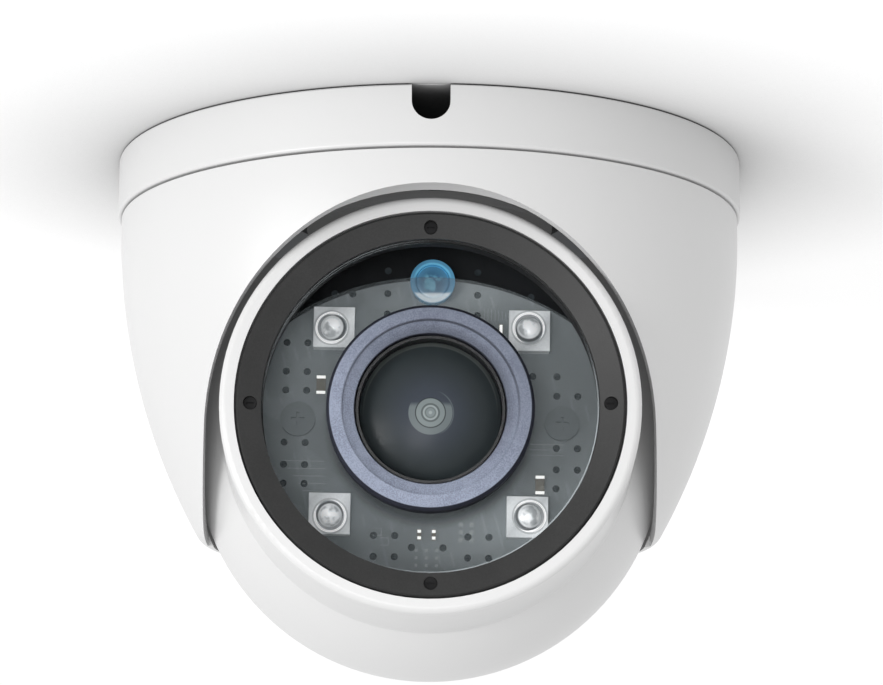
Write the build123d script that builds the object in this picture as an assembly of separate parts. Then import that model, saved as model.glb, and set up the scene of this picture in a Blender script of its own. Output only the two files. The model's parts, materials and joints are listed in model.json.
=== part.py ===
from build123d import *
import os
from math import cos, radians, sin, sqrt, tan

# Ceiling-mounted eyeball camera. Millimetres. The origin is the centre of the ceiling face,
# +Z is up into the ceiling, the camera hangs below it and looks along -Y.

# ---- base -------------------------------------------------------------------------------
BASE_R = 55.0
BASE_H = 10.0
SKIRT_R = 52.2              # inside of the skirt
PLATE_T = 3.0
NOTCH_W, NOTCH_H = 6.2, 5.8
CHANNEL_END = 31.0          # the side cable channel reaches in to this radius
HUB_R, HUB_BORE, HUB_Z = 21.75, 18.5, -11.0
CABLE_HOLE_R = 8.0
SCREW_PCD, SCREW_HOLE_R = 72.0, 2.25
GASKET_R, GASKET_W, GASKET_T = 48.0, 3.0, 1.0
CLIP_GROOVE_R = 20.9
LOCK_SCREW_R = 1.5
LOCK_Z = -7.4

# ---- shroud and its turntable ------------------------------------------------------------
SHROUD_R = 54.4             # widest, just under the base
SHROUD_TOP = BASE_H + 0.35  # depth below the ceiling
SHROUD_WIDEST = 12.0        # depth at which its side is vertical
SHROUD_ARC_R = 109.0        # radius of the side's curve
SHROUD_LIP = 67.4           # depth of the bottom edge
LIP_R = 37.5
WALL = 2.3
SPIGOT_R = 51.9
OPENING_R = 37.35
OPENING_DEPTH = 53.35       # depth of the opening's arc centre
LEG_LEAN, LEG_LENGTH = 4.2, 40.0      # the opening's sides spread by this angle below the arch
FLANGE_W, FLANGE_BACK = 2.0, 49.6
TABLE_R, TABLE_TOP, TABLE_T = 49.6, 5.5, 2.5
PAN_GAP = 0.05              # radial running clearance
SHROUD_SCREW_R = 46.8

# ---- eyeball ----------------------------------------------------------------------------
BALL_Z = -49.7
BALL_R = 40.9
SHELL = 2.5
NOSE_R, NOSE_TAPER = 33.7, 0.0385     # the round front at its face, and its widening to the rear
NOSE_EDGE, NOSE_BLEND = 1.1, 1.7      # its rounded rim, and the hollow where it meets the ball
FACE_Y = -45.2
BORE_R = 32.0
CLIP_BORE = 30.9
SPLIT_Y = 8.0
SHELL_SCREW_R, SHELL_SCREW_SEAT = 35.2, 13.0
POCKET_R = 31.35
PIN_R, PIN_GAP = 2.5, 0.05
BRACKET_X, BRACKET_T = 41.3, 1.5
GROMMET_TILT = 40.0

# ---- window and its ring ----------------------------------------------------------------
RING_R, RING_BORE = 31.1, 27.1
RING_SCREW_R = 28.8
GLASS_R, GLASS_T = 27.7, 1.5
RING_BACK = -42.9
GLASS_Y = -42.8
SEAT_BACK = -37.7

# ---- camera module ----------------------------------------------------------------------
ROLL = 1.0                  # the module sits turned this many degrees in the eyeball
BOARD_Y, BOARD_R, BOARD_T = -24.0, 30.4, 1.6
LED_X, LED_Z, LED_SIZE, LED_H = 16.3, 15.65, 6.8, 2.7
SENSOR_Z, SENSOR_R = 23.9, 3.75
COVER_ARC_R, COVER_TOP = 42.0, 24.5   # the smoked cover's upper edge is an arc
SHIELD_R, SHIELD_FACE_R, SHIELD_STEP = 16.8, 16.25, 14.3   # the light shield's hood
SHIELD_TUBE_R, SHIELD_BORE = 14.9, 12.3
SHIELD_Y, HOOD_BACK = -41.0, -37.0
LENS_R = 11.65
BARREL_FRONT, BARREL_REAR = -38.6, -6.2
BOARD_SCREW_X = 22.0
MAIN_X, MAIN_Z = 42.0, 38.0
POST_X, POST_Z = 17.5, 15.5
FILTER_TRAVEL = 8.2

parts = {}


def on_ball(shape):
    """Puts a shape drawn about the eyeball's centre in its place."""
    return Pos(0, 0, BALL_Z) * shape


def in_module(shape):
    """Puts a shape drawn about the optical axis in the module's resting place."""
    return on_ball(Rot(0, ROLL, 0) * shape)


def ring_z(outer, inner, z0, z1):
    """A ring about Z between two heights."""
    height = z1 - z0
    body = Pos(0, 0, z0 + height / 2) * Cylinder(outer, height)
    if inner > 0:
        body -= Pos(0, 0, z0 + height / 2) * Cylinder(inner, height + 1)
    return body


def ring_y(outer, inner, y0, y1):
    """A ring about Y between two places on that axis."""
    return Rot(-90, 0, 0) * ring_z(outer, inner, y0, y1)


def rod_y(radius, x, z, y0, y1):
    """A rod parallel to Y."""
    return Pos(x, 0, z) * ring_y(radius, 0, y0, y1)


def rod_x(radius, x0, x1):
    """A rod on the X axis."""
    return Pos((x0 + x1) / 2, 0, 0) * (Rot(0, 90, 0) * Cylinder(radius, x1 - x0))


def block(x0, x1, y0, y1, z0, z1):
    """A box between two corners."""
    middle = Pos((x0 + x1) / 2, (y0 + y1) / 2, (z0 + z1) / 2)
    return middle * Box(x1 - x0, y1 - y0, z1 - z0)


def lathe_y(points):
    """Turns a closed outline of (radius, y) points about Y."""
    return revolve(make_face(Polyline(*points, close=True)), Axis.Y)


def around_z(shape, angles):
    """Copies of a shape turned about Z."""
    return [Rot(0, 0, angle) * shape for angle in angles]


def group(shapes):
    """Several separate solids that share one node."""
    return Compound([solid for shape in shapes for solid in shape.solids()])


# ---- base -------------------------------------------------------------------------------
def make_base():
    plate = ring_z(BASE_R, 0, -BASE_H, 0)
    plate = fillet(plate.edges().group_by(Axis.Z)[0], 0.5)
    plate = fillet(plate.edges().group_by(Axis.Z)[-1], 0.3)
    plate -= ring_z(SKIRT_R, 0, -BASE_H - 1, -PLATE_T)
    plate += ring_z(HUB_R, HUB_BORE, HUB_Z, -PLATE_T)
    plate -= ring_z(CABLE_HOLE_R, 0, -PLATE_T - 1, 1)
    plate -= ring_z(GASKET_R + GASKET_W / 2, GASKET_R - GASKET_W / 2, -GASKET_T, 1)
    plate -= ring_z(HUB_R + 1, CLIP_GROOVE_R, -9.05, -8.05)
    notch_r = NOTCH_W / 2
    notch = block(-notch_r, notch_r, -BASE_R - 1, -CHANNEL_END, -NOTCH_H + notch_r, 1)
    notch += block(-notch_r, notch_r, -SKIRT_R, -CHANNEL_END, -PLATE_T - 1, 1)
    notch += rod_y(notch_r, 0, -NOTCH_H + notch_r, -BASE_R - 1, -SKIRT_R + 1)
    plate -= notch
    screw_hole = Pos(0, SCREW_PCD / 2, 0) * ring_z(SCREW_HOLE_R, 0, -PLATE_T - 1, 1)
    for hole in around_z(screw_hole, (0, 120, 240)):
        plate -= hole
    plate -= Pos(0, 0, LOCK_Z) * ring_y(LOCK_SCREW_R, 0, SKIRT_R - 1, BASE_R + 1)
    plate += block(-1.5, 1.5, 42.5, 46.0, -PLATE_T - 2.0, -PLATE_T)
    parts["base_plate"] = plate

    gasket = ring_z(GASKET_R + GASKET_W / 2, GASKET_R - GASKET_W / 2, -GASKET_T, 0)
    parts["ceiling_gasket"] = gasket - notch
    grommet = ring_z(CABLE_HOLE_R, 3.5, -PLATE_T, -0.3) + ring_z(10.0, 3.5, -PLATE_T - 1.1, -PLATE_T)
    parts["base_cable_grommet"] = grommet
    parts["pan_washer"] = ring_z(28.0, 23.0, -TABLE_TOP + 0.05, -PLATE_T)
    clip = ring_z(24.5, CLIP_GROOVE_R, -9.0, -8.1) - block(-3, 3, 0, 30, -10, -7)
    parts["pan_retaining_clip"] = clip
    lock = ring_y(LOCK_SCREW_R, 0, SPIGOT_R + 0.25, BASE_R - 0.4)
    lock -= ring_y(0.75, 0, BASE_R - 1.6, BASE_R)
    parts["pan_lock_screw"] = Pos(0, 0, LOCK_Z) * lock


# ---- shroud -----------------------------------------------------------------------------
def shroud_radius(depth):
    """Outside radius of the shroud at a depth below the ceiling: one large arc."""
    below = depth - SHROUD_WIDEST
    return SHROUD_R - SHROUD_ARC_R + sqrt(SHROUD_ARC_R ** 2 - below ** 2)


def shroud_body(inset, top, bottom):
    """The space under the shroud's curve, drawn in by an inset, from a top to a bottom depth."""
    middle = (top + bottom) / 2
    side = ThreePointArc(
        (shroud_radius(top) - inset, -top),
        (shroud_radius(middle) - inset, -middle),
        (shroud_radius(bottom) - inset, -bottom),
    )
    rest = Polyline(side @ 1, (0, -bottom), (0, -top), side @ 0)
    return revolve(Plane.XZ * make_face(side + rest), Axis.Z)


def opening_prism(grow, y0, y1):
    """The front opening as a prism along Y, an arch on spreading legs, made wider all round by grow."""
    radius = OPENING_R + grow
    lean = radians(LEG_LEAN)
    top_x, top_z = radius * cos(lean), radius * sin(lean) - OPENING_DEPTH
    foot_x, foot_z = top_x + LEG_LENGTH * tan(lean), top_z - LEG_LENGTH
    outline = Polyline((-top_x, top_z), (top_x, top_z), (foot_x, foot_z), (-foot_x, foot_z), close=True)
    legs = Pos(0, y1, 0) * extrude(Plane.XZ * make_face(outline), y1 - y0)
    return rod_y(radius, 0, -OPENING_DEPTH, y0, y1) + legs


def nose():
    """The eyeball's round front, from inside the ball to its face."""
    back = -10
    back_r = NOSE_R + NOSE_TAPER * (back - FACE_Y)
    return lathe_y([(0, back), (back_r, back), (NOSE_R, FACE_Y), (0, FACE_Y)])


def make_shroud():
    outside = shroud_body(0, SHROUD_TOP, SHROUD_LIP)
    bottom_edge = outside.edges().group_by(Axis.Z)[0]
    outside = fillet(bottom_edge, 3.4)
    shell = outside - shroud_body(WALL, SHROUD_TOP - 1, SHROUD_LIP - 2.2)
    shell -= on_ball(Sphere(BALL_R + 0.5))
    shell -= ring_z(LIP_R - 0.1, 0, -SHROUD_LIP - 1, -SHROUD_LIP + 4)
    ledge = ring_z(SPIGOT_R, 44.5, -SHROUD_TOP, -TABLE_TOP - TABLE_T)
    ledge += ring_z(SPIGOT_R, TABLE_R + 0.1, -TABLE_TOP - TABLE_T, -TABLE_TOP)
    ledge += ring_z(SHROUD_R - 0.5, 44.5, -SHROUD_TOP - 1.2, -SHROUD_TOP)
    frame = opening_prism(FLANGE_W, -60, -FLANGE_BACK) - opening_prism(0, -61, -40)
    shell += ledge + (frame & shroud_body(0.4, SHROUD_TOP, 40))
    shell -= opening_prism(0, -60, 0)
    screw_hole = Pos(0, SHROUD_SCREW_R, 0) * ring_z(1.2, 0, -14, 0)
    for hole in around_z(screw_hole, (0, 120, 240)):
        shell -= hole
    for side in (-1, 1):
        shell -= block(side * 42 - 5, side * 42 + 5, -10, 10, -SHROUD_TOP - 2, -TABLE_TOP - TABLE_T)
    parts["shroud"] = shell

    table = ring_z(TABLE_R, HUB_R + PAN_GAP, -TABLE_TOP - TABLE_T, -TABLE_TOP)
    access = Pos(0, SCREW_PCD / 2, 0) * ring_z(4.5, 0, -9, -4)
    for hole in around_z(access, (0, 120, 240)) + around_z(screw_hole, (0, 120, 240)):
        table -= hole
    for side in (-1, 1):
        for y in (-6, 6):
            table -= Pos(side * 38, y, 0) * ring_z(1.2, 0, -9, -4)
    table += block(-1.5, 1.5, -46.0, -42.5, -TABLE_TOP, -TABLE_TOP + 2.2)
    parts["turntable"] = table

    screw = ring_z(1.2, 0, -SHROUD_TOP - 1.2, -TABLE_TOP - 0.2)
    screw += ring_z(2.2, 0, -SHROUD_TOP - 2.8, -SHROUD_TOP - 1.2)
    screw -= cross_recess(-SHROUD_TOP - 2.8)
    parts["shroud_screws"] = group(around_z(Pos(0, SHROUD_SCREW_R, 0) * screw, (0, 120, 240)))


def cross_recess(z):
    """The cross in a screw head whose face looks down at height z."""
    return Pos(0, 0, z) * (Box(2.2, 0.5, 1.2) + Box(0.5, 2.2, 1.2))


def make_tilt_mount():
    table_under = -TABLE_TOP - TABLE_T
    arm_end = 6.0
    outer = BRACKET_X + BRACKET_T
    arm = block(BRACKET_X, outer, -arm_end, arm_end, BALL_Z, table_under)
    arm += on_ball(rod_x(arm_end, BRACKET_X, outer))
    arm -= on_ball(rod_x(3.6, BRACKET_X - 1, outer + 1))
    tab = block(33.5, outer, -9, 9, table_under - BRACKET_T, table_under)
    bracket = arm + tab
    for y in (-6, 6):
        bracket -= Pos(38, y, 0) * ring_z(1.2, 0, -12, -7)
    parts["tilt_bracket_right"] = bracket
    parts["tilt_bracket_left"] = mirror(bracket, Plane.YZ)

    screw = ring_z(1.2, 0, table_under - BRACKET_T, -TABLE_TOP - 0.3)
    screw += ring_z(2.1, 0, table_under - BRACKET_T - 1.4, table_under - BRACKET_T)
    screw -= cross_recess(table_under - BRACKET_T - 1.4)
    spots = [(side * 38, y) for side in (-1, 1) for y in (-6, 6)]
    parts["tilt_bracket_screws"] = group(Pos(x, y, 0) * screw for x, y in spots)

    bush = rod_x(3.6, BRACKET_X, outer) + rod_x(4.6, outer, outer + 0.8)
    bush -= rod_x(PIN_R + PIN_GAP, BRACKET_X - 1, outer + 2)
    parts["tilt_bushes"] = group((on_ball(bush), on_ball(mirror(bush, Plane.YZ))))


# ---- eyeball ----------------------------------------------------------------------------
def shell_screw_places():
    """Where the three screws join the eyeball's halves, as (x, z) about the optical axis."""
    return [(SHELL_SCREW_R * cos(radians(a)), SHELL_SCREW_R * sin(radians(a))) for a in (90, 198, 342)]


def make_eyeball():
    outside = Sphere(BALL_R) + nose()
    circles = outside.edges().filter_by(GeomType.CIRCLE)
    outside = fillet([e for e in circles if NOSE_R + 0.1 < e.radius < BALL_R - 1], NOSE_BLEND)
    outside = fillet([e for e in outside.edges() if e.center().Y < FACE_Y + 0.1], NOSE_EDGE)

    cavity = Sphere(BALL_R - SHELL) & block(-60, 60, -17, 60, -60, 60)
    cavity += ring_y(BORE_R, 0, -35, -10)
    walls = outside - cavity
    walls -= ring_y(29.5, 0, -40, -30)
    walls -= ring_y(POCKET_R, 0, FACE_Y - 1, -37.2)
    walls -= ring_y(BORE_R + 0.7, BORE_R - 1, -20.75, -19.95)

    ball = Sphere(BALL_R)
    posts = [rod_y(3.4, x, z, -3, 45) for x, z in shell_screw_places()]
    for side in (-1, 1):
        walls += rod_x(4.6, min(side * 35, side * 45), max(side * 35, side * 45)) & ball
    for post in posts:
        walls += post & ball
    for x, z in shell_screw_places():
        walls -= rod_y(1.3, x, z, -1, 45)
        walls -= rod_y(2.7, x, z, SHELL_SCREW_SEAT, 45)
    walls -= rod_x(PIN_R, -50, -37)
    walls -= rod_x(PIN_R, 37, 50)

    front = walls & block(-60, 60, -60, SPLIT_Y, -60, 60)
    front -= ring_y(39.1, 38.2, SPLIT_Y - 0.6, SPLIT_Y + 1)
    rear = walls & block(-60, 60, SPLIT_Y, 60, -60, 60)
    to_grommet = Rot(GROMMET_TILT, 0, 0)
    rear -= to_grommet * ring_y(4.0, 0, 30, 45)
    parts["front_shell"] = on_ball(front)
    parts["rear_shell"] = on_ball(rear)

    grommet = ring_y(4.0, 2.0, 36.6, 40.4) + ring_y(5.2, 2.0, 36.6, 37.6)
    parts["ball_cable_grommet"] = on_ball(to_grommet * grommet)
    parts["shell_seal"] = on_ball(ring_y(39.1, 38.2, SPLIT_Y - 0.6, SPLIT_Y))

    head = SHELL_SCREW_SEAT + 1.7
    screw = ring_y(1.3, 0, 2, SHELL_SCREW_SEAT) + ring_y(2.4, 0, SHELL_SCREW_SEAT, head)
    screw -= Rot(90, 0, 0) * cross_recess(-head)
    parts["shell_screws"] = on_ball(group(Pos(x, 0, z) * screw for x, z in shell_screw_places()))

    pin = rod_x(PIN_R, 37.0, BRACKET_X + BRACKET_T + 0.6)
    pin = chamfer(pin.edges().group_by(Axis.X)[-1], 0.4)
    parts["tilt_pins"] = on_ball(group((pin, mirror(pin, Plane.YZ))))

    clip = ring_y(BORE_R + 0.65, CLIP_BORE, -20.7, -20.0) - block(-5, 5, -22, -18, -40, 0)
    parts["module_clip"] = on_ball(clip)


def ring_screw_places():
    return [(RING_SCREW_R * cos(radians(a)), RING_SCREW_R * sin(radians(a))) for a in (0, 90, 180, 270)]


def make_window():
    glass_back = GLASS_Y + GLASS_T
    gasket_back = glass_back + 0.5
    parts["window_glass"] = on_ball(ring_y(GLASS_R, 0, GLASS_Y, glass_back))
    parts["window_gasket"] = on_ball(ring_y(GLASS_R, RING_BORE + 0.1, glass_back, gasket_back))

    seat = ring_y(POCKET_R - 0.1, RING_BORE, RING_BACK, SEAT_BACK)
    seat -= ring_y(GLASS_R + 0.05, 0, RING_BACK - 1, gasket_back)
    ring = lathe_y([
        (RING_BORE, RING_BACK), (RING_R, RING_BACK), (RING_R, FACE_Y + 0.35),
        (RING_R - 0.35, FACE_Y), (RING_BORE, FACE_Y + 1.6),
    ])
    for x, z in ring_screw_places():
        seat -= rod_y(0.75, x, z, RING_BACK - 1, -39.5)
        ring -= rod_y(0.8, x, z, -50, RING_BACK + 1)
        ring -= rod_y(1.1, x, z, -50, -43.4)
    parts["window_seat"] = on_ball(seat)
    parts["seat_seal"] = on_ball(ring_y(POCKET_R - 0.1, 29.6, SEAT_BACK, -37.2))
    parts["retaining_ring"] = on_ball(ring)

    screw = ring_y(0.75, 0, -43.4, -39.5) + ring_y(1.0, 0, -43.95, -43.4)
    screw -= Rot(-90, 0, 0) * (Pos(0, 0, -43.95) * Box(1.2, 0.3, 0.5))
    parts["retaining_screws"] = on_ball(group(Pos(x, 0, z) * screw for x, z in ring_screw_places()))


# ---- camera module ----------------------------------------------------------------------
def led_places():
    return [(x, z) for x in (-LED_X, LED_X) for z in (-LED_Z, LED_Z)]


def make_led_board():
    board_back = BOARD_Y + BOARD_T
    board = ring_y(BOARD_R, 12.6, BOARD_Y, board_back)
    for x in (-BOARD_SCREW_X, BOARD_SCREW_X):
        board -= rod_y(1.2, x, 0.4, -30, -10)
    parts["led_board"] = in_module(board)

    half = LED_SIZE / 2
    front = BOARD_Y - LED_H
    base = block(-half, half, front, BOARD_Y, -half, half)
    base += ring_y(2.65, 2.3, front - 0.3, front)
    base -= ring_y(2.3, 0, front - 0.1, front + 0.25)
    dome = Pos(0, front + 1.0, 0) * Sphere(2.35) & block(-4, 4, front - 3, front + 0.25, -4, 4)
    parts["led_bases"] = in_module(group(Pos(x, 0, z) * base for x, z in led_places()))
    parts["led_domes"] = in_module(group(Pos(x, 0, z) * dome for x, z in led_places()))

    sensor = ring_y(SENSOR_R, 2.9, BOARD_Y - 2.0, BOARD_Y) + ring_y(SENSOR_R, 0, BOARD_Y - 0.5, BOARD_Y)
    cap = ring_y(2.85, 0, BOARD_Y - 1.8, BOARD_Y - 0.5)
    cap = fillet(cap.edges().group_by(Axis.Y)[0], 0.5)
    parts["photosensor_sleeve"] = in_module(Pos(0, 0, SENSOR_Z) * sensor)
    parts["photosensor"] = in_module(Pos(0, 0, SENSOR_Z) * cap)

    chip = block(-0.75, 0.75, BOARD_Y - 0.7, BOARD_Y, -1.5, 1.5)
    small = block(-0.35, 0.35, BOARD_Y - 0.5, BOARD_Y, -0.9, 0.9)
    chips = [Pos(x, 0, z) * chip for x, z in ((-18.3, 6.2), (18.4, -10.0))]
    chips += [Pos(x, 0, z) * small for x, z in ((11.6, 16.2), (-1.45, -18.6), (0.95, -18.6))]
    parts["board_components"] = in_module(group(chips))

    screw = ring_y(1.2, 0, BOARD_Y, -19.6) + ring_y(2.9, 0, BOARD_Y - 0.7, BOARD_Y)
    screw -= Rot(-90, 0, 0) * cross_recess(BOARD_Y - 0.7)
    places = [(x, 0.4) for x in (-BOARD_SCREW_X, BOARD_SCREW_X)]
    parts["board_screws"] = in_module(group(Pos(x, 0, z) * screw for x, z in places))

    plate_front = BOARD_Y - LED_H + 0.1
    cover = ring_y(29.8, SHIELD_TUBE_R + 0.3, plate_front, plate_front + 0.4)
    cover += ring_y(29.8, 29.2, plate_front, BOARD_Y)
    for x, z in led_places():
        hole = LED_SIZE / 2 + 0.1
        cover -= Pos(x, 0, z) * block(-hole, hole, -30, BOARD_Y + 1, -hole, hole)
    arch = rod_y(COVER_ARC_R, 0, COVER_TOP - COVER_ARC_R, -30, -20)
    parts["board_cover"] = in_module(cover & arch)


def make_module():
    board_back = BOARD_Y + BOARD_T
    frame = ring_y(BORE_R - 0.07, BOARD_R + 0.2, -34.6, board_back)
    frame += ring_y(BORE_R - 0.07, 26.5, board_back, -20.8)
    for side in (-1, 1):
        ends = sorted((side * 18.5, side * 29))
        frame += block(*ends, board_back, -19.4, -3.6, 4.4)
        frame -= rod_y(1.2, side * BOARD_SCREW_X, 0.4, -30, -10)
    parts["module_frame"] = in_module(frame)

    shield = lathe_y([
        (SHIELD_BORE, BOARD_Y), (SHIELD_TUBE_R, BOARD_Y), (SHIELD_TUBE_R, HOOD_BACK),
        (SHIELD_R, HOOD_BACK), (SHIELD_R, SHIELD_Y + 0.7), (SHIELD_FACE_R, SHIELD_Y),
        (SHIELD_STEP, SHIELD_Y), (SHIELD_STEP, SHIELD_Y + 0.4), (SHIELD_BORE, SHIELD_Y + 1.5),
    ])
    parts["light_shield"] = in_module(shield)

    barrel = lathe_y([
        (LENS_R, BARREL_FRONT), (12.1, BARREL_FRONT), (12.1, -15.5), (6.9, -15.5),
        (6.9, BARREL_REAR), (5.0, BARREL_REAR), (5.0, -17.0), (9.5, -17.0), (9.5, -33.0),
        (LENS_R, -33.0),
    ])
    parts["lens_barrel"] = in_module(barrel)
    lens_curve = 26.0
    apex = BARREL_FRONT + 0.3
    lens = Pos(0, apex + lens_curve, 0) * Sphere(lens_curve) & ring_y(LENS_R, 0, -40, -33)
    parts["front_lens"] = in_module(lens)
    rear = Pos(0, -9.0 + 9.0, 0) * Sphere(9.0) & ring_y(5.0, 0, -10, -6.6)
    parts["rear_lens"] = in_module(rear)

    holder = block(-15, 15, -5.6, -1.6, -8, 8) + ring_y(9.5, 0, -14, -5.6)
    holder -= ring_y(6.9, 0, -20, -5.6 - 0.4)
    holder -= ring_y(4.6, 0, -7, -4)
    holder -= block(-12.8, 12.8, -4.6, -3.2, -4.85, 4.85)
    holder -= ring_y(5.4, 0, -3.4, 0)
    parts["lens_holder"] = in_module(holder)
    coil = block(-8, 2, -5.4, -1.7, 8, 14)
    coil = fillet(coil.edges().filter_by(Axis.Y), 0.8)
    parts["filter_coil"] = in_module(coil)

    parts["image_sensor"] = in_module(block(-4.0, 4.0, -2.7, -1.6, -3.0, 3.0))
    main = block(-MAIN_X / 2, MAIN_X / 2, -1.6, 0, -MAIN_Z / 2, MAIN_Z / 2)
    main = fillet(main.edges().filter_by(Axis.Y), 2.0)
    parts["main_board"] = in_module(main)
    parts["thermal_pad"] = in_module(block(-7, 7, 0, 1, -7, 7))
    spreader = block(-19, 19, 1, 2.5, -17, 17)
    for i in range(7):
        spreader += block(-17, 17, 2.5, 5.5, -15.6 + i * 5, -14.4 + i * 5)
    parts["heat_spreader"] = in_module(spreader)

    posts = [(x, z) for x in (-POST_X, POST_X) for z in (-POST_Z, POST_Z)]
    parts["board_posts"] = in_module(group(rod_y(2.0, x, z, board_back, -1.6) for x, z in posts))

    sockets = [block(-5, 5, board_back, board_back + 2, -24, -20), block(-5, 5, -4.6, -1.6, -17, -13)]
    parts["ribbon_sockets"] = in_module(group(sockets))
    start, end = board_back + 2, -4.6
    path = Polyline((start, -22.0), (start + 6, -22.6), (end - 4, -17.0), (end, -15.0))
    ribbon = extrude(Plane.YZ * trace(path, 0.3), 4, both=True)
    ribbon &= block(-6, 6, start, end, -30, 0)
    parts["led_ribbon"] = in_module(ribbon)


def make_filter():
    shift = FILTER_TRAVEL / 2
    slide = block(-8.5, 8.5, -4.5, -3.3, -4.8, 4.8)
    window = block(-3.5, 3.5, -5, -3, -3.8, 3.8)
    for x in (-shift, shift):
        slide -= Pos(x, 0, 0) * window
    pane = block(-3.5, 3.5, -4.2, -3.6, -3.8, 3.8)
    parts["filter_slide"] = in_module(Pos(shift, 0, 0) * slide)
    parts["ir_cut_filter"] = in_module(pane)
    parts["clear_filter"] = in_module(Pos(FILTER_TRAVEL, 0, 0) * pane)


make_base()
make_shroud()
make_tilt_mount()
make_eyeball()
make_window()
make_led_board()
make_module()
make_filter()

os.makedirs("parts", exist_ok=True)
for name, shape in parts.items():
    export_step(shape, f"parts/{name}.step")
print(len(parts), "pieces written")
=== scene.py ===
"""Finishes, fine detail and studio for the ceiling eyeball camera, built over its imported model."""

import json
import logging
import math
from dataclasses import dataclass, field
from enum import Enum
from typing import Any, Sequence

import bmesh
import bpy
from mathutils import Matrix, Vector

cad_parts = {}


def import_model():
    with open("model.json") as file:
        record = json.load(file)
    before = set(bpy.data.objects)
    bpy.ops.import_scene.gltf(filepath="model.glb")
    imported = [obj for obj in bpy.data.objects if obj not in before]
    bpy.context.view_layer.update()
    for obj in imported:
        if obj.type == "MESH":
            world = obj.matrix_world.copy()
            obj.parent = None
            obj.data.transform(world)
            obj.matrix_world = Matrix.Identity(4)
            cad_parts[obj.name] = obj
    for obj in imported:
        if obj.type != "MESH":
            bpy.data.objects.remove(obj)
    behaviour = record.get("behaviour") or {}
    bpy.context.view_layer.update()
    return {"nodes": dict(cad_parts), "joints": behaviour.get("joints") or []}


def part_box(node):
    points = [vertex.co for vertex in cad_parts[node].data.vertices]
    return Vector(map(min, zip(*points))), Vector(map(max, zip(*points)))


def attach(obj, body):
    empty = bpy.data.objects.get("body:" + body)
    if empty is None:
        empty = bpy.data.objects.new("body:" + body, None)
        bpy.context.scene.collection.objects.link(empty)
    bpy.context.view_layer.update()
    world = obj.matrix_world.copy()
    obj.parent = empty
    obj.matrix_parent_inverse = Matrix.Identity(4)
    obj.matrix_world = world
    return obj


MM = 0.001
Colour = tuple[float, float, float]
Point = tuple[float, float]
log = logging.getLogger("eyeball_camera")


class Body(Enum):
    """The moving groups of the camera that a piece can ride on."""

    BASE = "base"
    SWIVEL = "swivel"
    EYEBALL = "eyeball"
    MODULE = "module"
    FILTER = "filter"


def paint(red: float, green: float, blue: float) -> Colour:
    """Turns display values from 0 to 255 into linear light.

    Args:
        red: Red display value.
        green: Green display value.
        blue: Blue display value.

    Returns:
        The same colour in linear light, each channel from 0 to 1.
    """
    shares = (value / 255 for value in (red, green, blue))
    linear = (s / 12.92 if s <= 0.04045 else ((s + 0.055) / 1.055) ** 2.4 for s in shares)
    return tuple(linear)


# ---- shader building --------------------------------------------------------------------


class Wire:
    """A shader socket on which arithmetic adds Math nodes."""

    def __init__(self, shader: "Shader", socket: bpy.types.NodeSocket) -> None:
        """Wraps an output socket of a shader."""
        self.shader = shader
        self.socket = socket

    def _math(self, operation: str, *values: Any) -> "Wire":
        """Adds a Math node.

        Args:
            operation: The Math node's operation.
            values: Wires or numbers for its inputs, in order.

        Returns:
            The node's result.
        """
        return self.shader.add("ShaderNodeMath", {"operation": operation}, dict(enumerate(values)))

    def __add__(self, other: Any) -> "Wire":
        """Adds."""
        return self._math("ADD", self, other)

    def __radd__(self, other: Any) -> "Wire":
        """Adds, with the wire on the right."""
        return self._math("ADD", other, self)

    def __sub__(self, other: Any) -> "Wire":
        """Subtracts."""
        return self._math("SUBTRACT", self, other)

    def __rsub__(self, other: Any) -> "Wire":
        """Subtracts the wire from a value."""
        return self._math("SUBTRACT", other, self)

    def __mul__(self, other: Any) -> "Wire":
        """Multiplies."""
        return self._math("MULTIPLY", self, other)

    def __rmul__(self, other: Any) -> "Wire":
        """Multiplies, with the wire on the right."""
        return self._math("MULTIPLY", other, self)

    def __truediv__(self, other: Any) -> "Wire":
        """Divides."""
        return self._math("DIVIDE", self, other)

    def __rtruediv__(self, other: Any) -> "Wire":
        """Divides a value by the wire."""
        return self._math("DIVIDE", other, self)

    def __pow__(self, power: Any) -> "Wire":
        """Raises to a power."""
        return self._math("POWER", self, power)

    def __abs__(self) -> "Wire":
        """Drops the sign."""
        return self._math("ABSOLUTE", self)

    def step(self, low: float, high: float) -> "Wire":
        """Rises smoothly from 0 at low to 1 at high, or falls where low is the larger.

        Args:
            low: The value that gives 0.
            high: The value that gives 1.

        Returns:
            The eased value.
        """
        settings = {"interpolation_type": "SMOOTHSTEP"}
        if low <= high:
            return self.shader.add("ShaderNodeMapRange", settings, {0: self, 1: low, 2: high})
        return 1.0 - self.shader.add("ShaderNodeMapRange", settings, {0: self, 1: high, 2: low})

    def pingpong(self, length: float) -> "Wire":
        """Gives the share, from 0 to 1 and back, of a length that the value has run through."""
        return self._math("PINGPONG", self, length) / length

    def band(self, middle: float, half: float, soft: float) -> "Wire":
        """Gives 1 within a band of values and fades to 0 outside it.

        Args:
            middle: Centre of the band.
            half: Half the band's width.
            soft: Width of the fade at each side.

        Returns:
            The mask.
        """
        return abs(self - middle).step(half + soft, half)


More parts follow.
